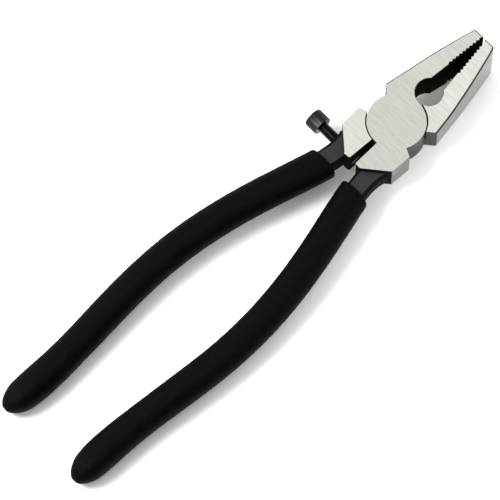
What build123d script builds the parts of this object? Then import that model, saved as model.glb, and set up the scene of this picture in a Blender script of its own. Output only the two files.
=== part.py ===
"""Running pliers for stained glass: two lap-jointed levers on a rivet, dipped grips, a stop screw.

Frame: the pivot axis is Z, the jaws point to +Y, and z = 0 is the lower cheek of the head.
The two levers are one forging used twice: the lower lever is the upper one turned half
round about Y.  The upper lever carries the left jaw, the pivot disc on top and the right
handle.  Everything is modelled about the head's mid plane and lifted at the end.
"""

from build123d import *
from math import radians, sqrt, tan
import os

# ---------------------------------------------------------------- head and lap joint
head_thickness = 12.0        # cheek to cheek
disc_radius = 10.1           # half-thickness disc of each lever
joint_gap = 0.35             # radial gap between a disc and the other lever
lap_gap = 0.10               # between the two discs' flat faces
rivet_radius = 3.5
rivet_head_radius = 4.9      # countersunk ends, ground flush with the cheeks
rivet_head_depth = 1.4
pivot_clearance = 0.05       # running fit of the rivet in the lower lever

# ---------------------------------------------------------------- jaws
jaw_length = 40.6            # pivot to tip
jaw_tip_thickness = 22.2     # the jaws flare in thickness towards the tip
flare_start = 13.5           # where the flare leaves the flat cheek
flare_blend_radius = 40.0    # rounds the start of the flare
shoulder_half_width = 12.3   # back corner of the jaw
shoulder_y = 6.9
shoulder_root = (5.0, 0.8)   # the shoulder face aims at this point, inside the disc
jaw_tip_half_width = 4.6
jaw_tip_corner = 0.9
jaw_bulge = 0.6              # outward bow of the jaw's outer side
jaw_edge_chamfer = 0.5       # along the jaw's outer side
tip_half_gap = 0.45          # the jaws stand this far off the centre plane at the tip
gap_angle = 6.6              # each inner face opens by this angle towards the pivot
pipe_hole_radius = 4.8
pipe_hole_offset = 0.1       # between the hole's edge and the disc's
parting_gap = 0.25           # half gap between the levers behind the pipe hole
tooth_pitch = 1.4
tooth_depth = 0.55
tooth_count = 10
tooth_land = 0.5             # plain face between the last tooth and the tip

# ---------------------------------------------------------------- shoulder blocks behind the disc
block_front = (12.2, -5.65)  # this face lies on a line through the pivot
block_back = (11.9, -13.5)
block_heel = (3.6, -20.5)
block_toe_y = -20.4
block_toe_round = 0.7
block_root_share = 0.3       # its root lies this far from the pivot to its front corner
slot_half_start = 1.0        # the slot between the two blocks
slot_half_end = 1.35

# ---------------------------------------------------------------- neck and tang
tang_thickness = 6.8
tang_width = 7.6
tang_end_width = 6.2
tang_edge_bevel = 1.1
neck_flare = 1.6             # the neck widens by this much where it joins the block
neck_flare_length = 8.0
neck_x = 6.8                 # the neck's centre line leaves the block here
neck_root_depth = 6.0        # the neck reaches this far into the block from its toe
handle_length = 161.4        # pivot to the grip's nose
handle_spread = 19.4         # widest distance of the handle's centre line from the tool's
handle_bow = [               # shape of that line: shares of the spread and of the length
    (0.469, 0.204),
    (0.706, 0.310),
    (1.000, 0.570),
    (0.845, 0.843),
    (0.871, 1.000),
]

# ---------------------------------------------------------------- dipped grips
grip_front_y = -26.0         # dip line
grip_wall = 1.9              # vinyl on the sides of the tang
grip_face_wall = 1.7         # vinyl on its flats
grip_end_taper = 0.3         # each side of the grip draws in by this much by its end
grip_nose_length = 9.0       # the end narrows to a nose over this length
grip_nose_power = 1.8        # fullness of that nose
grip_corner = 0.43           # corner radius of the section, as a share of its height
grip_front_round = 0.6
tang_to_nose = 9.0           # solid vinyl past the tang's end

# ---------------------------------------------------------------- stop screw (M4 x 16 socket head)
screw_y = -17.5
screw_radius = 2.0
screw_length = 16.0
screw_head_radius = 3.5
screw_head_height = 5.0
screw_head_round = 0.45
screw_point_chamfer = 0.5
screw_socket_width = 3.0     # across flats
screw_socket_depth = 2.2
screw_hole_clearance = 0.05
screw_stand_out = 0.15       # the point stands this far out of the slot face

half_head = head_thickness / 2
pipe_hole_y = disc_radius + pipe_hole_radius + pipe_hole_offset
tip_half_thickness = jaw_tip_thickness / 2
reach = 2 * jaw_length       # longer than any cut needs
tiny = 1e-4                  # slack when an edge is picked by its place
tang_steps = 14              # sections along the tang
grip_steps = 8               # sections along the grip before its nose
grip_nose_stations = [1.0, 0.72, 0.47, 0.27, 0.12, 0.035]  # sections left to the nose, as shares of it


def inner_face_x(y):
    """Distance of the jaw's inner face from the centre plane."""
    return tip_half_gap + (jaw_length - y) * tan(radians(gap_angle))


def slot_half(y):
    """Half width of the slot between the shoulder blocks."""
    share = (-disc_radius - y) / (-disc_radius - block_toe_y)
    return slot_half_start + (slot_half_end - slot_half_start) * share


def pivot_cylinder(radius, z_low, z_high):
    """A cylinder on the pivot axis between two heights."""
    return Pos(0, 0, (z_low + z_high) / 2) * Cylinder(radius, z_high - z_low)


def prism(outline, half_height):
    """A closed plan outline thickened equally above and below the mid plane."""
    return extrude(make_face(outline), half_height, both=True)


def toothed_face():
    """Points along the inner face of the left jaw, from the pipe hole to the tip."""
    last_tooth = jaw_length - tooth_land
    first_tooth = last_tooth - tooth_count * tooth_pitch
    hole_edge_x = inner_face_x(pipe_hole_y + pipe_hole_radius)
    hole_edge_y = pipe_hole_y + sqrt(pipe_hole_radius**2 - hole_edge_x**2)
    points = [(-inner_face_x(hole_edge_y), hole_edge_y)]
    for tooth in range(tooth_count):
        crest_y = first_tooth + tooth * tooth_pitch
        root_y = crest_y + tooth_pitch / 2
        points.append((-inner_face_x(crest_y), crest_y))
        points.append((-inner_face_x(root_y) - tooth_depth, root_y))
    points.append((-inner_face_x(last_tooth), last_tooth))
    points.append((-tip_half_gap, jaw_length))
    return points


def jaw_plan():
    """Plan outline of the left jaw, its root reaching into the disc."""
    tip = Vector(-jaw_tip_half_width, jaw_length)
    shoulder = Vector(-shoulder_half_width, shoulder_y)
    run = tip - shoulder
    outward = Vector(-run.Y, run.X).normalized()
    bow = (tip + shoulder) * 0.5 + outward * jaw_bulge
    face = toothed_face()
    inner = Polyline(*face, tip)
    side = ThreePointArc(tip, bow, shoulder)
    root = Polyline(
        shoulder,
        (-shoulder_root[0], shoulder_root[1]),
        (-parting_gap, shoulder_root[1]),
        (-parting_gap, pipe_hole_y),
        face[0],
    )
    return Curve() + [inner, side, root]


def flare_prism():
    """Side view of the jaws: flat cheeks that flare towards the tip."""
    profile = make_face(Plane.YZ * Polyline(
        (0, -half_head),
        (flare_start, -half_head),
        (jaw_length, -tip_half_thickness),
        (jaw_length, tip_half_thickness),
        (flare_start, half_head),
        (0, half_head),
        close=True,
    ))
    bends = [corner for corner in profile.vertices() if abs(corner.Y - flare_start) < tiny]
    return extrude(fillet(bends, flare_blend_radius), reach, both=True)


def jaw():
    """The left jaw: flared, toothed, with half of the pipe hole."""
    body = prism(jaw_plan(), tip_half_thickness) & flare_prism()
    tip_corners = [
        edge
        for edge in body.edges().filter_by(Axis.Z)
        if abs(edge.center().X + jaw_tip_half_width) < tiny
    ]
    body = fillet(tip_corners, jaw_tip_corner)
    outer_edges = [
        edge
        for edge in body.edges()
        if abs(edge.center().Z) > half_head - tiny
        and edge.center().X < -jaw_tip_half_width
        and edge.center().Y > shoulder_y
    ]
    body = chamfer(outer_edges, jaw_edge_chamfer)
    return body - Pos(0, pipe_hole_y, 0) * Cylinder(pipe_hole_radius, 2 * jaw_tip_thickness)


def block():
    """The right shoulder block behind the disc, its root reaching into the disc."""
    root = Vector(*block_front) * block_root_share
    outline = Polyline(
        root,
        block_front,
        block_back,
        block_heel,
        (slot_half(block_toe_y), block_toe_y),
        (slot_half(-disc_radius), -disc_radius),
        (slot_half(-disc_radius), root.Y),
        close=True,
    )
    body = prism(outline, half_head)
    toe = [edge for edge in body.edges().filter_by(Axis.Z) if edge.center().Y < block_toe_y + tiny]
    return fillet(toe, block_toe_round)


def handle_point(share, side, width):
    """A point beside the handle's centre line: side +1 is the outer edge, -1 the inner."""
    ahead = handle_line % share
    outward = Vector(-ahead.Y, ahead.X)
    return (handle_line @ share) + outward * (side * width / 2)


def bevelled_bar(width, height, bevel):
    """Cross-section of the tang: a flat bar with its four edges bevelled."""
    quarter = [(width / 2, height / 2 - bevel), (width / 2 - bevel, height / 2)]
    top = quarter + [(-x, y) for x, y in reversed(quarter)]
    bottom = [(x, -y) for x, y in reversed(top)]
    return make_face(Polyline(*top, *bottom, close=True))


def cross_plane(share):
    """Plane across the handle's centre line, its X pointing outward."""
    outward = handle_point(share, 1, 2) - handle_point(share, 1, 0)
    return Plane(origin=handle_line @ share, x_dir=outward, z_dir=handle_line % share)


def tang():
    """The forged neck and tang, a flat bar with bevelled edges that follows the handle."""
    end_share = 1 - tang_to_nose / handle_line.length
    sections = []
    for step in range(tang_steps + 1):
        share = end_share * step / tang_steps
        root = max(0, 1 - share * handle_line.length / neck_flare_length)
        width = tang_width + (tang_end_width - tang_width) * share + neck_flare * root**2
        sections.append(cross_plane(share) * bevelled_bar(width, tang_thickness, tang_edge_bevel))
    return loft(sections)


def lever():
    """One lever with no rivet hole: left jaw, top half disc, right block, right tang."""
    body = jaw() + block()
    body -= pivot_cylinder(disc_radius + joint_gap, -reach, lap_gap / 2)
    body += pivot_cylinder(disc_radius, lap_gap / 2, half_head)
    return (body + tang()).clean()


def rivet_shape(extra):
    """The rivet with both countersunk ends, its radii larger by extra."""
    shank = Cylinder(rivet_radius + extra, head_thickness)
    for side in (1, -1):
        cone = Cone(rivet_radius + extra, rivet_head_radius + extra, rivet_head_depth)
        seat = Rot(0, 0 if side > 0 else 180, 0) * cone
        shank += Pos(0, 0, side * (half_head - rivet_head_depth / 2)) * seat
    return shank


def grip():
    """Dipped vinyl over the right tang, cut square across the tool at the dip line."""
    front_width = tang_width + 2 * grip_wall
    front_height = tang_thickness + 2 * grip_face_wall
    nose_share = grip_nose_length / handle_line.length
    shares = [(1 - nose_share) * step / grip_steps for step in range(grip_steps)]
    shares += [1 - nose_share * left for left in grip_nose_stations]
    sections = []
    for share in shares:
        left = min(1, (1 - share) / nose_share)
        fullness = (1 - (1 - left) ** grip_nose_power) ** (1 / grip_nose_power)
        width = (front_width - 2 * grip_end_taper * share) * fullness
        height = front_height * fullness
        sections.append(cross_plane(share) * RectangleRounded(width, height, grip_corner * height))
    body = loft(sections)
    body -= Pos(0, grip_front_y + reach / 2, 0) * Box(reach, reach, reach)
    front = body.faces().sort_by(Axis.Y)[-1]
    return fillet(front.edges(), grip_front_round)


def stop_screw():
    """Socket-head cap screw, head to the left, point standing in the slot."""
    shank = Pos(0, 0, screw_length / 2) * Cylinder(screw_radius, screw_length)
    shank = chamfer(shank.edges().sort_by(Axis.Z)[-1], screw_point_chamfer)
    head = Pos(0, 0, -screw_head_height / 2) * Cylinder(screw_head_radius, screw_head_height)
    head = fillet(head.edges().sort_by(Axis.Z)[0], screw_head_round)
    socket = extrude(
        Pos(0, 0, -screw_head_height) * RegularPolygon(screw_socket_width / 2, 6, major_radius=False),
        screw_socket_depth,
    )
    point_x = screw_stand_out - slot_half(screw_y)
    seat = Plane(origin=(point_x - screw_length, screw_y, 0), x_dir=(0, 1, 0), z_dir=(1, 0, 0))
    return seat * (shank + head - socket)


def screw_hole():
    """The threaded hole through the left neck and block, on the mid plane."""
    hole = Cylinder(screw_radius + screw_hole_clearance, reach)
    return Pos(-reach / 2, screw_y, 0) * Rot(0, 90, 0) * hole


neck_route = [(neck_x, block_toe_y + neck_root_depth), (neck_x, block_toe_y)]
bow_route = [(handle_spread * across, -handle_length * along) for across, along in handle_bow]
handle_line = Spline(*neck_route, *bow_route)
half_turn = Rot(0, 180, 0)

right_grip = grip() - tang()
nodes = {
    "upper_lever": lever() - rivet_shape(0),
    "lower_lever": half_turn * lever() - rivet_shape(pivot_clearance) - screw_hole(),
    "pivot_rivet": rivet_shape(0),
    "upper_lever_grip": right_grip,
    "lower_lever_grip": half_turn * right_grip,
    "stop_screw": stop_screw(),
}

os.makedirs("parts", exist_ok=True)
for name, shape in nodes.items():
    export_step(Pos(0, 0, half_head) * shape, f"parts/{name}.step")
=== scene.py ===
"""Looks of the running pliers: ground and blackened forgings, dipped vinyl grips, a black stop screw.

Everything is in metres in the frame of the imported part: the pivot axis is Z, the jaws point to +Y
and z = 0 is the lower cheek of the head.
"""

import math

import bpy
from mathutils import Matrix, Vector


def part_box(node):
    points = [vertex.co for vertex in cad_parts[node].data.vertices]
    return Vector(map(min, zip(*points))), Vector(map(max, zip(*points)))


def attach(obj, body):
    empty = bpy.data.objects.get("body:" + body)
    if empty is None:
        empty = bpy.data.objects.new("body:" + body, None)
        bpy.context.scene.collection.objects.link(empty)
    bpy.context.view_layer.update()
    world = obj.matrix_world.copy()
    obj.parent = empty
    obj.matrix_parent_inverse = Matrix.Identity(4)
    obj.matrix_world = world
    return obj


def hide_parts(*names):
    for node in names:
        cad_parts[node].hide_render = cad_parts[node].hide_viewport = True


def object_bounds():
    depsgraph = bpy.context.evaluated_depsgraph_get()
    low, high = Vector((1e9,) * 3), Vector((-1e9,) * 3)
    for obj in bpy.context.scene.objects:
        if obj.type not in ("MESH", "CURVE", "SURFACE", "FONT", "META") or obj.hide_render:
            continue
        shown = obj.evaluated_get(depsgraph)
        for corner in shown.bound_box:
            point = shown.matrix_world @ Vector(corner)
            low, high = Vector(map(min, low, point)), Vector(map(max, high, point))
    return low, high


MM = 0.001

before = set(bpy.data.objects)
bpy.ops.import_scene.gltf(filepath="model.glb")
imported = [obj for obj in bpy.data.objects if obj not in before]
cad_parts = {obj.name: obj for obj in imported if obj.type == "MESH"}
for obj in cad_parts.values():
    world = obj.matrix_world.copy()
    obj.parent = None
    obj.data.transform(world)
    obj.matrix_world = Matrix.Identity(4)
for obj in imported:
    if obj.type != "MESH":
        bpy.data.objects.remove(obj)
cad_low, cad_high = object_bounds()

# ---------------------------------------------------------------- places taken from the frame
rivet_low, rivet_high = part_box("pivot_rivet")
screw_low, screw_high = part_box("stop_screw")

mid_z = (rivet_low.z + rivet_high.z) / 2
half_head = (rivet_high.z - rivet_low.z) / 2
rivet_radius = rivet_high.x
screw_axis = Vector((0, (screw_low.y + screw_high.y) / 2, (screw_low.z + screw_high.z) / 2))
screw_head_radius = (screw_high.y - screw_low.y) / 2

# ---------------------------------------------------------------- forged levers
disc_radius = 10.1 * MM
shoulder_y = 6.9 * MM            # back corner of the jaw
block_front_y = -5.0 * MM        # the block's ground outer side lies behind this,
block_side_x = 11.5 * MM         # further out than this
block_corner_y = -13.5 * MM      # and ends at this back corner

# how far a face or an edge may lie from the place it belongs to and still count as a part of it
cheek_slack = 0.1 * MM
wall_slack = 0.15 * MM
corner_slack = 0.2 * MM
rivet_slack = 0.2 * MM

merge_gap = 0.05 * MM            # corners closer than this become one
weld_gap = 0.001 * MM            # the same, for the fine shapes of the screw
flat_angle = math.radians(0.6)   # faces that meet flatter than this become one
sharp_angle = math.radians(25)   # edges sharper than this are broken
broken_edge = 0.12 * MM          # how far each sharp edge is rounded back
broken_edge_steps = 3

# ---------------------------------------------------------------- dipped grips
vinyl_cell = 0.36 * MM           # facet size of the grip's skin
vinyl_pebble = 1.3 * MM          # width of one pebble of the leathery skin
vinyl_pebble_depth = 0.09 * MM

# ---------------------------------------------------------------- stop screw (M4)
thread_radius = 2.0 * MM
thread_pitch = 0.7 * MM
thread_depth = 0.43 * MM
thread_facets = 32
thread_profile = ((0.40, 1), (0.12, 0), (0.40, -1), (0.08, 0))   # pitches along, depths out
hidden_turns = 2                 # the thread starts this many turns inside the head,
cut_turns = 1.5                  # is cut off square this many turns from its start
spare_turns = 2                  # and runs this many past the point, before it is cut off there
point_taper = 0.8                # width of the screw's end against the full thread
along_screw = (0, math.pi / 2, 0)
screw_head_height = 5.0 * MM
screw_head_round = 0.45 * MM
screw_head_round_steps = 4
socket_across_flats = 3.0 * MM
socket_depth = 2.2 * MM
knurl_count = 36
knurl_depth = 0.1 * MM
knurl_margin = 0.7 * MM          # plain band at the head's outer end; the inner one is half of it


# ================================================================ small helpers
def linear(hex_colour):
    """An sRGB hex colour as linear red, green, blue and alpha."""
    parts = [int(hex_colour[i : i + 2], 16) / 255 for i in (1, 3, 5)]
    return [p / 12.92 if p <= 0.04045 else ((p + 0.055) / 1.055) ** 2.4 for p in parts] + [1.0]


def add_node(material, kind, settings=None, links=None):
    """Adds a node; settings are its input values or properties, links join inputs to sockets."""
    node = material.node_tree.nodes.new(kind)
    for name, value in (settings or {}).items():
        if name in node.inputs:
            node.inputs[name].default_value = value
        else:
            setattr(node, name, value)
    for name, socket in (links or {}).items():
        material.node_tree.links.new(socket, node.inputs[name])
    return node


def start_material(name):
    """An empty node material, and the object coordinates its patterns are laid out in."""
    material = bpy.data.materials.new(name)
    material.use_nodes = True
    material.node_tree.nodes.clear()
    return material, add_node(material, "ShaderNodeTexCoord").outputs["Object"]


def finish_material(material, settings, links):
    """Adds the main shader and joins it to the output."""
    shader = add_node(material, "ShaderNodeBsdfPrincipled", settings, links)
    add_node(material, "ShaderNodeOutputMaterial", {}, {"Surface": shader.outputs["BSDF"]})
    return material


def select_only(piece):
    """Makes a piece the only selected one and the active one."""
    bpy.ops.object.select_all(action="DESELECT")
    piece.select_set(True)
    bpy.context.view_layer.objects.active = piece


def choose(piece, kind, test):
    """Enters edit mode with the vertices, edges or faces that pass a test selected."""
    select_only(piece)
    bpy.ops.object.mode_set(mode="EDIT")
    bpy.ops.mesh.select_mode(type=kind)
    bpy.ops.mesh.select_all(action="DESELECT")
    bpy.ops.object.mode_set(mode="OBJECT")
    mesh = piece.data
    for element in {"VERT": mesh.vertices, "EDGE": mesh.edges, "FACE": mesh.polygons}[kind]:
        element.select = test(element)
    bpy.ops.object.mode_set(mode="EDIT")


def leave_edit():
    """Back to object mode."""
    bpy.ops.object.mode_set(mode="OBJECT")


def modify(piece, kind, **settings):
    """Adds a modifier with its settings and applies it."""
    select_only(piece)
    modifier = piece.modifiers.new(kind.lower(), kind)
    for name, value in settings.items():
        setattr(modifier, name, value)
    bpy.ops.object.modifier_apply(modifier=modifier.name)


def merged_copy(node, name):
    """A free, merged copy of a CAD node's mesh, the start of the piece that stands for it."""
    piece = bpy.data.objects.new(name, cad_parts[node].data.copy())
    bpy.context.scene.collection.objects.link(piece)
    piece.data.name = name
    piece.data.materials.clear()
    select_only(piece)
    bpy.ops.mesh.customdata_custom_splitnormals_clear()
    bpy.ops.object.mode_set(mode="EDIT")
    bpy.ops.mesh.select_all(action="SELECT")
    bpy.ops.mesh.remove_doubles(threshold=merge_gap)
    leave_edit()
    return piece


def stand_for(piece, node, body):
    """Shows the piece in place of a CAD node, moving with the node's body."""
    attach(piece, body)
    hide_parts(node)


# ================================================================ materials
def ground_steel(name, along, dark, pale):
    """Carbon steel ground flat on a belt.

    The eye sees a satin metal with short faint streaks along one axis. It is almost white on the cheeks;
    the sides are the same steel given a middle grey, which is painted shade."""
    streak_spacing = 0.5 * MM    # grit marks are finer than this; drawn coarse enough to show
    streak_squeeze = 0.06        # streaks are this many times as wide as they are long
    streak_dark = 0.3            # noise below this is all dark
    streak_pale = 0.7            # noise above this is all pale
    smoothest = 0.12
    roughest = 0.19
    mottle_size = 1.5 * MM
    material, place = start_material(name)
    squeeze = [streak_squeeze if axis == along else 1.0 for axis in "XYZ"]
    run = add_node(material, "ShaderNodeMapping", {"Scale": squeeze}, {"Vector": place})
    streaks = add_node(
        material,
        "ShaderNodeTexNoise",
        {"Scale": 1 / streak_spacing, "Detail": 3.0, "Roughness": 0.6},
        {"Vector": run.outputs["Vector"]},
    )
    mottle = add_node(
        material,
        "ShaderNodeTexNoise",
        {"Scale": 1 / mottle_size, "Detail": 5.0, "Roughness": 0.7},
        {"Vector": place},
    )
    contrast = add_node(
        material,
        "ShaderNodeMapRange",
        {"From Min": streak_dark, "From Max": streak_pale},
        {"Value": streaks.outputs["Fac"]},
    )
    tone = add_node(
        material,
        "ShaderNodeMixRGB",
        {"Color1": linear(dark), "Color2": linear(pale)},
        {"Fac": contrast.outputs["Result"]},
    )
    gloss = add_node(
        material,
        "ShaderNodeMapRange",
        {"To Min": smoothest, "To Max": roughest},
        {"Value": mottle.outputs["Fac"]},
    )
    relief = add_node(
        material,
        "ShaderNodeBump",
        {"Strength": 0.5, "Distance": 0.02 * MM},
        {"Height": streaks.outputs["Fac"]},
    )
    return finish_material(
        material,
        {"Metallic": 1.0},
        {
            "Base Color": tone.outputs["Color"],
            "Roughness": gloss.outputs["Result"],
            "Normal": relief.outputs["Normal"],
        },
    )


def milled_steel():
    """Carbon steel as the cutter left it round the joint, darkened by its oxide.

    The eye sees a dull grey-brown wall with upright tool marks."""
    mark_spacing = 0.6 * MM
    mark_squeeze = 0.1           # marks are this many times as wide as they are tall
    material, place = start_material("milled_oxidised_steel")
    run = add_node(material, "ShaderNodeMapping", {"Scale": [1.0, 1.0, mark_squeeze]}, {"Vector": place})
    marks = add_node(
        material,
        "ShaderNodeTexNoise",
        {"Scale": 1 / mark_spacing, "Detail": 3.0, "Roughness": 0.6},
        {"Vector": run.outputs["Vector"]},
    )
    tone = add_node(
        material,
        "ShaderNodeMixRGB",
        {"Color1": linear("#2d2a28"), "Color2": linear("#5c5956")},
        {"Fac": marks.outputs["Fac"]},
    )
    relief = add_node(
        material,
        "ShaderNodeBump",
        {"Strength": 0.6, "Distance": 0.03 * MM},
        {"Height": marks.outputs["Fac"]},
    )
    return finish_material(
        material,
        {"Metallic": 1.0, "Roughness": 0.5},
        {"Base Color": tone.outputs["Color"], "Normal": relief.outputs["Normal"]},
    )


def blackened_forging():
    """Forged steel under black phosphate: the upper and lower faces behind the blocks.

    The eye sees a slightly lumpy, half-dull black that turns grey where the light falls."""
    lump_size = 1.1 * MM
    grain_size = 0.3 * MM
    material, place = start_material("blackened_forging")
    lumps = add_node(
        material,
        "ShaderNodeTexNoise",
        {"Scale": 1 / lump_size, "Detail": 2.0},
        {"Vector": place},
    )
    grain = add_node(
        material,
        "ShaderNodeTexNoise",
        {"Scale": 1 / grain_size, "Detail": 4.0, "Roughness": 0.7},
        {"Vector": place},
    )
    tone = add_node(
        material,
        "ShaderNodeMixRGB",
        {"Color1": linear("#131315"), "Color2": linear("#2f2f33")},
        {"Fac": grain.outputs["Fac"]},
    )
    coarse = add_node(
        material,
        "ShaderNodeBump",
        {"Strength": 0.6, "Distance": 0.1 * MM},
        {"Height": lumps.outputs["Fac"]},
    )
    fine = add_node(
        material,
        "ShaderNodeBump",
        {"Strength": 0.4, "Distance": 0.03 * MM},
        {"Height": grain.outputs["Fac"], "Normal": coarse.outputs["Normal"]},
    )
    return finish_material(
        material,
        {"Roughness": 0.5, "Specular IOR Level": 0.12},
        {"Base Color": tone.outputs["Color"], "Normal": fine.outputs["Normal"]},
    )


def inner_black():
    """Black phosphate on inner walls, the blocks' backs and the necks' slopes: its real black deepened
    with painted shade, darker than the same forging's upper and lower faces.

    The eye sees a dead black that gives back almost nothing."""
    ripple_spacing = 0.4 * MM
    material, place = start_material("black_phosphate_painted_shade")
    ripple = add_node(
        material,
        "ShaderNodeTexNoise",
        {"Scale": 1 / ripple_spacing, "Detail": 3.0, "Roughness": 0.6},
        {"Vector": place},
    )
    tone = add_node(
        material,
        "ShaderNodeMixRGB",
        {"Color1": linear("#020202"), "Color2": linear("#0a0a0b")},
        {"Fac": ripple.outputs["Fac"]},
    )
    relief = add_node(
        material,
        "ShaderNodeBump",
        {"Strength": 0.4, "Distance": 0.03 * MM},
        {"Height": ripple.outputs["Fac"]},
    )
    return finish_material(
        material,
        {"Roughness": 0.7, "Specular IOR Level": 0.06},
        {"Base Color": tone.outputs["Color"], "Normal": relief.outputs["Normal"]},
    )


def black_edge():
    """The chamfers and rounded edges beside the ground faces, coloured black.

    The eye sees a thin black line with a dull shine."""
    wear_size = 1.2 * MM
    material, place = start_material("black_edge_line")
    wear = add_node(
        material, "ShaderNodeTexNoise", {"Scale": 1 / wear_size, "Detail": 3.0}, {"Vector": place}
    )
    tone = add_node(
        material,
        "ShaderNodeMixRGB",
        {"Color1": linear("#08080a"), "Color2": linear("#1e1e20")},
        {"Fac": wear.outputs["Fac"]},
    )
    return finish_material(
        material, {"Roughness": 0.6, "Specular IOR Level": 0.25}, {"Base Color": tone.outputs["Color"]}
    )


def dipped_vinyl():
    """Plastisol vinyl dipped over the tangs and cured.

    The eye sees a deep soft black, nearly without shine, with a fine leathery pebble."""
    pore_size = 0.35 * MM
    patch_size = 3.0 * MM
    smoothest = 0.5
    roughest = 0.75
    material, place = start_material("dipped_black_vinyl")
    pores = add_node(
        material,
        "ShaderNodeTexNoise",
        {"Scale": 1 / pore_size, "Detail": 3.0, "Roughness": 0.6},
        {"Vector": place},
    )
    patches = add_node(
        material, "ShaderNodeTexNoise", {"Scale": 1 / patch_size, "Detail": 4.0}, {"Vector": place}
    )
    tone = add_node(
        material,
        "ShaderNodeMixRGB",
        {"Color1": linear("#000001"), "Color2": linear("#040405")},
        {"Fac": patches.outputs["Fac"]},
    )
    gloss = add_node(
        material,
        "ShaderNodeMapRange",
        {"To Min": smoothest, "To Max": roughest},
        {"Value": patches.outputs["Fac"]},
    )
    relief = add_node(
        material,
        "ShaderNodeBump",
        {"Strength": 0.5, "Distance": 0.05 * MM},
        {"Height": pores.outputs["Fac"]},
    )
    return finish_material(
        material,
        {"Specular IOR Level": 0.04},
        {
            "Base Color": tone.outputs["Color"],
            "Roughness": gloss.outputs["Result"],
            "Normal": relief.outputs["Normal"],
        },
    )


def black_oxide():
    """High-tensile screw steel with an oiled black oxide.

    The eye sees a clean black with a broad satin highlight."""
    haze_size = 0.9 * MM
    smoothest = 0.2
    roughest = 0.28
    material, place = start_material("oiled_black_oxide")
    haze = add_node(
        material, "ShaderNodeTexNoise", {"Scale": 1 / haze_size, "Detail": 4.0}, {"Vector": place}
    )
    gloss = add_node(
        material,
        "ShaderNodeMapRange",
        {"To Min": smoothest, "To Max": roughest},
        {"Value": haze.outputs["Fac"]},
    )
    relief = add_node(
        material,
        "ShaderNodeBump",
        {"Strength": 0.2, "Distance": 0.02 * MM},
        {"Height": haze.outputs["Fac"]},
    )
    return finish_material(
        material,
        {"Base Color": linear("#010102"), "Specular IOR Level": 0.22},
        {"Roughness": gloss.outputs["Result"], "Normal": relief.outputs["Normal"]},
    )


def white_paper():
    """Matt white sweep paper under the tool."""
    fibre_size = 2.0 * MM
    material, place = start_material("matt_white_paper")
    fibres = add_node(
        material, "ShaderNodeTexNoise", {"Scale": 1 / fibre_size, "Detail": 2.0}, {"Vector": place}
    )
    tone = add_node(
        material,
        "ShaderNodeMixRGB",
        {"Color1": linear("#f6f6f4"), "Color2": linear("#f9f9f7")},
        {"Fac": fibres.outputs["Fac"]},
    )
    return finish_material(
        material, {"Roughness": 0.9, "Specular IOR Level": 0.1}, {"Base Color": tone.outputs["Color"]}
    )


# ================================================================ levers
CHEEK, SIDE, MILLED, FORGED, INNER, EDGE = range(6)


def lever_finish(face):
    """Which finish a face of a lever has, from its place and the way it faces."""
    # how much of a face's normal lies along an axis, from nearly all of it to hardly any
    level = 0.9
    neck_level = 0.8
    mostly = 0.7
    half_out = 0.5
    partly = 0.4
    hardly = 0.2
    middle, facing = face.center, face.normal
    depth = abs(middle.z - mid_z)
    radius = math.hypot(middle.x, middle.y)
    outward = facing.x * math.copysign(1, middle.x)
    beside_block = block_corner_y - corner_slack < middle.y < block_front_y and depth < half_head
    if abs(facing.z) > level and depth > half_head - cheek_slack:
        return CHEEK
    if middle.y > shoulder_y and partly < abs(facing.z) < level:
        return EDGE
    # sides of the jaws and blocks: the ground steel in a darker tone, painted shade
    if middle.y > shoulder_y and (outward > half_out or facing.y > level):
        return SIDE
    if outward > mostly and beside_block:
        return SIDE if abs(middle.x) > block_side_x else INNER
    if abs(radius - disc_radius) < wall_slack and abs(facing.z) < hardly:
        return MILLED
    if facing.y < -mostly and 0 < middle.y < shoulder_y:
        return MILLED
    if middle.y < block_corner_y and abs(facing.z) > neck_level:
        return FORGED
    # walls and slopes facing sideways: the black phosphate made darker as painted shade
    return INNER


def broken_edge_finish(face):
    """Which finish the rounded edge of a cheek has: black along the jaws and outer sides."""
    flat = 0.975                 # how much of a face's normal points up or down
    turned_out = 0.3             # and how much of it points outwards
    middle, facing = face.center, face.normal
    if abs(facing.z) > flat:
        return CHEEK
    outward = facing.x * math.copysign(1, middle.x)
    on_outer_side = outward > turned_out and abs(middle.x) > disc_radius
    return EDGE if middle.y > shoulder_y or on_outer_side else CHEEK


def forged_lever(node, name, finishes):
    """A lever with its edges broken and each face given a finish by its place and facing, the sides and
    walls in darker copies that are painted shade.
    """
    piece = merged_copy(node, name)
    select_only(piece)
    bpy.ops.object.mode_set(mode="EDIT")
    bpy.ops.mesh.select_all(action="SELECT")
    bpy.ops.mesh.dissolve_limited(angle_limit=flat_angle)
    leave_edit()
    for finish in finishes:
        piece.data.materials.append(finish)
    for face in piece.data.polygons:
        face.material_index = lever_finish(face)
    points = [vertex.co for vertex in piece.data.vertices]

    def away_from_rivet(edge):
        middle = (points[edge.vertices[0]] + points[edge.vertices[1]]) / 2
        return math.hypot(middle.x, middle.y) > rivet_radius + rivet_slack

    choose(piece, "EDGE", lambda edge: False)
    bpy.ops.mesh.edges_select_sharp(sharpness=sharp_angle)
    leave_edit()
    sharp = {edge.index for edge in piece.data.edges if edge.select}
    choose(piece, "EDGE", lambda edge: edge.index in sharp and away_from_rivet(edge))
    bpy.ops.mesh.bevel(offset=broken_edge, segments=broken_edge_steps, clamp_overlap=False)
    leave_edit()
    for face in piece.data.polygons:
        if face.material_index == CHEEK:
            face.material_index = broken_edge_finish(face)
    select_only(piece)
    bpy.ops.object.shade_smooth_by_angle(angle=sharp_angle)
    modify(piece, "WEIGHTED_NORMAL", keep_sharp=True)
    return piece


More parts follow.
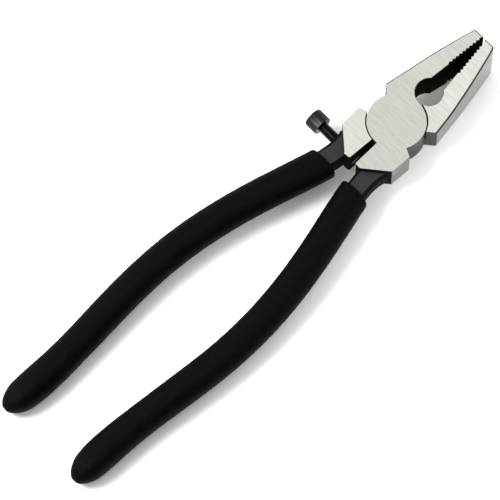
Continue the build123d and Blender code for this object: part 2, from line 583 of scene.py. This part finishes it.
# ================================================================ grips
def vinyl_grip(node, name, skin):
    """A dipped grip: the CAD wall with a soft, pebbled skin that only sinks inwards."""
    piece = merged_copy(node, name)
    modify(piece, "REMESH", mode="VOXEL", voxel_size=vinyl_cell, adaptivity=0.0)
    modify(piece, "SMOOTH", factor=0.5, iterations=2)
    pebbles = bpy.data.textures.new(name + "_pebbles", "VORONOI")
    pebbles.noise_scale = vinyl_pebble
    modify(
        piece,
        "DISPLACE",
        texture=pebbles,
        texture_coords="LOCAL",
        strength=vinyl_pebble_depth,
        mid_level=1.0,
    )
    piece.data.materials.append(skin)
    select_only(piece)
    bpy.ops.object.shade_smooth()
    return piece


# ================================================================ stop screw
def place_in_mesh(piece):
    """Moves a piece's place and turn into its mesh, so that its object sits at the origin."""
    select_only(piece)
    bpy.ops.object.transform_apply(location=True, rotation=True, scale=True)


def combine(piece, other, operation):
    """Joins or cuts a piece with another closed shape, which is used up."""
    modify(piece, "BOOLEAN", operation=operation, solver="EXACT", object=other)
    bpy.data.objects.remove(other)


def cut_across(piece, x, fill=False, **clear):
    """Cuts a piece square across the screw's axis."""
    choose(piece, "FACE", lambda face: True)
    bpy.ops.mesh.bisect(
        plane_co=(x, 0, 0), plane_no=(1, 0, 0), use_fill=fill, threshold=weld_gap, **clear
    )
    leave_edit()


def screw_head():
    """The head: rounded rim, straight knurl and a hexagon socket in its outer end."""
    facets_per_ridge = 4
    outer_x = screw_low.x
    inner_x = outer_x + screw_head_height
    bpy.ops.mesh.primitive_cylinder_add(
        vertices=facets_per_ridge * knurl_count,
        radius=screw_head_radius,
        depth=screw_head_height,
        location=screw_axis + Vector(((outer_x + inner_x) / 2, 0, 0)),
        rotation=along_screw,
    )
    head = bpy.context.object
    place_in_mesh(head)
    band = (outer_x + knurl_margin, inner_x - knurl_margin / 2)
    for x in band:
        cut_across(head, x)
    points = [vertex.co.copy() for vertex in head.data.vertices]

    def on_outer_rim(edge):
        return all(abs(points[v].x - outer_x) < merge_gap for v in edge.vertices)

    def in_groove(vertex):
        spoke = vertex.co - screw_axis
        turn = math.atan2(spoke.z, spoke.y) / math.tau % 1
        facet = round(turn * facets_per_ridge * knurl_count) % facets_per_ridge
        return facet < facets_per_ridge / 2 and band[0] - merge_gap < spoke.x < band[1] + merge_gap

    choose(head, "EDGE", on_outer_rim)
    bpy.ops.mesh.bevel(offset=screw_head_round, segments=screw_head_round_steps)
    leave_edit()
    choose(head, "VERT", in_groove)
    groove = 1 - knurl_depth / screw_head_radius
    bpy.ops.transform.resize(value=(1, groove, groove), center_override=screw_axis)
    leave_edit()
    bpy.ops.mesh.primitive_cylinder_add(
        vertices=6,
        radius=socket_across_flats / math.sqrt(3),
        depth=2 * socket_depth,
        location=screw_axis + Vector((outer_x, 0, 0)),
        rotation=along_screw,
    )
    combine(head, bpy.context.object, "DIFFERENCE")
    return head


def screw_thread():
    """The threaded shank, one thread profile swept round the axis and cut off square."""
    start_x = screw_low.x + screw_head_height - hidden_turns * thread_pitch
    end_x = screw_high.x
    bpy.ops.mesh.primitive_plane_add(
        size=thread_depth, location=screw_axis + Vector((start_x, 0, 0))
    )
    shank = bpy.context.object
    bpy.ops.object.mode_set(mode="EDIT")
    bpy.ops.mesh.select_all(action="SELECT")
    bpy.ops.mesh.merge(type="CENTER")
    bpy.ops.transform.translate(value=(0, 0, thread_radius - thread_depth))
    for along, out in thread_profile:
        move = (along * thread_pitch, 0, out * thread_depth)
        bpy.ops.mesh.extrude_region_move(TRANSFORM_OT_translate={"value": move})
    leave_edit()
    modify(
        shank,
        "SCREW",
        axis="X",
        screw_offset=thread_pitch,
        iterations=math.ceil((end_x - start_x) / thread_pitch) + spare_turns,
        steps=thread_facets,
    )
    place_in_mesh(shank)
    choose(shank, "FACE", lambda face: True)
    bpy.ops.mesh.remove_doubles(threshold=weld_gap)
    leave_edit()
    cut_across(shank, start_x + cut_turns * thread_pitch, fill=True, clear_inner=True)
    cut_across(shank, end_x, fill=True, clear_outer=True)
    choose(shank, "VERT", lambda vertex: abs(vertex.co.x - end_x) < weld_gap)
    bpy.ops.transform.resize(value=(1, point_taper, point_taper), center_override=screw_axis)
    bpy.ops.mesh.select_all(action="SELECT")
    bpy.ops.mesh.normals_make_consistent(inside=False)
    leave_edit()
    return shank


def socket_screw(name, finish):
    """The knurled socket-head screw that limits how far the jaws close."""
    screw = screw_head()
    combine(screw, screw_thread(), "UNION")
    screw.name = name
    screw.data.name = name
    screw.data.materials.clear()
    screw.data.materials.append(finish)
    select_only(screw)
    bpy.ops.object.shade_smooth_by_angle(angle=sharp_angle)
    return screw


# ================================================================ set and camera
def paper_floor():
    """The sheet under the tool, tilted to meet the upper lever's lowest corner and its grip."""
    half_size = 2.0
    tip = min((v.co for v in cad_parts["upper_lever"].data.vertices), key=lambda p: p.z)
    grip_points = [v.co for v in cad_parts["upper_lever_grip"].data.vertices]
    slope = min((p.z - tip.z) / (tip.y - p.y) for p in grip_points)
    bpy.ops.mesh.primitive_plane_add(size=2 * half_size, location=(0, tip.y, tip.z))
    floor = bpy.context.object
    floor.name = "paper_floor"
    floor.rotation_euler.x = -math.atan(slope)
    bpy.ops.object.transform_apply(location=True, rotation=True)
    floor.data.materials.append(white_paper())


tent_brightness = 1.9
opening_brightness = 0.2
opening_starts = -0.1            # cosine of the angle to the opening where the wall starts to dim
opening_ends = 0.7               # and where it is as dim as the opening
roof_dimming = 0.7               # the tent's top against its walls
roof_starts = 0.6                # sine of the angle above level where the roof starts to dim
roof_ends = 0.85                 # and where it is fully dim
key_height = 1.2                 # how high the key stands for each metre it stands to the left

camera_azimuth = math.radians(46.694)
camera_elevation = math.radians(70.25)
camera_distance = 1.4685
camera_lens = 320.4              # mm
camera_sensor = 36               # mm
sight_limit = 20                 # m
aim_offset = Vector((-1.9 * MM, -4.8 * MM, 0))   # from the middle of the object's box

to_right = Vector((math.cos(camera_azimuth), math.sin(camera_azimuth), 0))
to_back = Vector((-math.sin(camera_azimuth), math.cos(camera_azimuth), 0))
to_camera = -to_back * math.cos(camera_elevation) + Vector((0, 0, math.sin(camera_elevation)))
aim = (cad_low + cad_high) / 2 + aim_offset


def camera():
    """A long lens above the tool, with the handles towards the lower left of the view."""
    data = bpy.data.cameras.new("camera")
    data.lens = camera_lens
    data.sensor_width = camera_sensor
    data.clip_end = sight_limit
    view = bpy.data.objects.new("camera", data)
    view.location = aim + to_camera * camera_distance
    view.rotation_euler = to_camera.to_track_quat("Z", "Y").to_euler()
    bpy.context.scene.collection.objects.link(view)
    bpy.context.scene.camera = view


def soft_box(name, direction, distance, size, watts):
    """A square area light that faces the rivet from a direction."""
    data = bpy.data.lights.new(name, "AREA")
    data.size = size
    data.energy = watts
    box = bpy.data.objects.new(name, data)
    box.location = rivet_high + direction.normalized() * distance
    box.rotation_euler = direction.to_track_quat("Z", "Y").to_euler()
    bpy.context.scene.collection.objects.link(box)


def lights():
    """A white tent, dim towards the front right, with a key at the left and a fill at the jaws."""
    from_left = -to_right + Vector((0, 0, key_height))
    beside_jaws = Vector((1.2, 0.45, 0.8))
    soft_box("key_box", from_left, distance=0.8, size=0.36, watts=8.5)
    soft_box("jaw_fill_box", beside_jaws, distance=0.15, size=0.08, watts=0.17)
    world = bpy.data.worlds.new("white_tent")
    world.use_nodes = True
    world.node_tree.nodes.clear()
    look = add_node(world, "ShaderNodeTexCoord")
    opening = (to_right * 0.6 - to_back * 0.8).normalized()
    towards = add_node(
        world,
        "ShaderNodeVectorMath",
        {"operation": "DOT_PRODUCT"},
        {"Vector": look.outputs["Generated"]},
    )
    towards.inputs[1].default_value = opening
    wall = add_node(
        world,
        "ShaderNodeMapRange",
        {
            "From Min": opening_starts,
            "From Max": opening_ends,
            "To Min": tent_brightness,
            "To Max": opening_brightness,
        },
        {"Value": towards.outputs["Value"]},
    )
    wall.interpolation_type = "SMOOTHSTEP"
    height = add_node(
        world, "ShaderNodeSeparateXYZ", {}, {"Vector": look.outputs["Generated"]}
    )
    roof = add_node(
        world,
        "ShaderNodeMapRange",
        {"From Min": roof_starts, "From Max": roof_ends, "To Min": 1.0, "To Max": roof_dimming},
        {"Value": height.outputs["Z"]},
    )
    brightness = add_node(world, "ShaderNodeMath", {"operation": "MULTIPLY"})
    world.node_tree.links.new(wall.outputs["Result"], brightness.inputs[0])
    world.node_tree.links.new(roof.outputs["Result"], brightness.inputs[1])
    backdrop = add_node(
        world, "ShaderNodeBackground", {}, {"Strength": brightness.outputs["Value"]}
    )
    add_node(world, "ShaderNodeOutputWorld", {}, {"Surface": backdrop.outputs["Background"]})
    bpy.context.scene.world = world
    bpy.context.scene.view_settings.view_transform = "Standard"


# ================================================================ assembly
# the cheeks of the lower lever are painted paler: painted light on the same ground steel
cheeks = {
    "upper": ground_steel("ground_steel_cheek", "X", "#c2c1bb", "#d4d3cc"),
    "lower": ground_steel("ground_steel_cheek_painted_lighter", "X", "#cfcec7", "#e3e2db"),
}
other_finishes = [
    # the sides: the same ground steel with darker colours, painted shade
    ground_steel("ground_steel_side_painted_shade", "Y", "#605f5c", "#72716d"),
    milled_steel(),
    blackened_forging(),
    inner_black(),
    black_edge(),
]
vinyl = dipped_vinyl()

for side in ("upper", "lower"):
    finishes = [cheeks[side], *other_finishes]
    lever = forged_lever(f"{side}_lever", f"{side}_lever_forging", finishes)
    stand_for(lever, f"{side}_lever", f"{side}_lever")
    grip = vinyl_grip(f"{side}_lever_grip", f"{side}_vinyl_grip", vinyl)
    stand_for(grip, f"{side}_lever_grip", f"{side}_lever")

screw = socket_screw("knurled_stop_screw", black_oxide())
stand_for(screw, "stop_screw", "stop_screw")

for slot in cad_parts["pivot_rivet"].material_slots:
    slot.material = cheeks["upper"]

paper_floor()
camera()
lights()
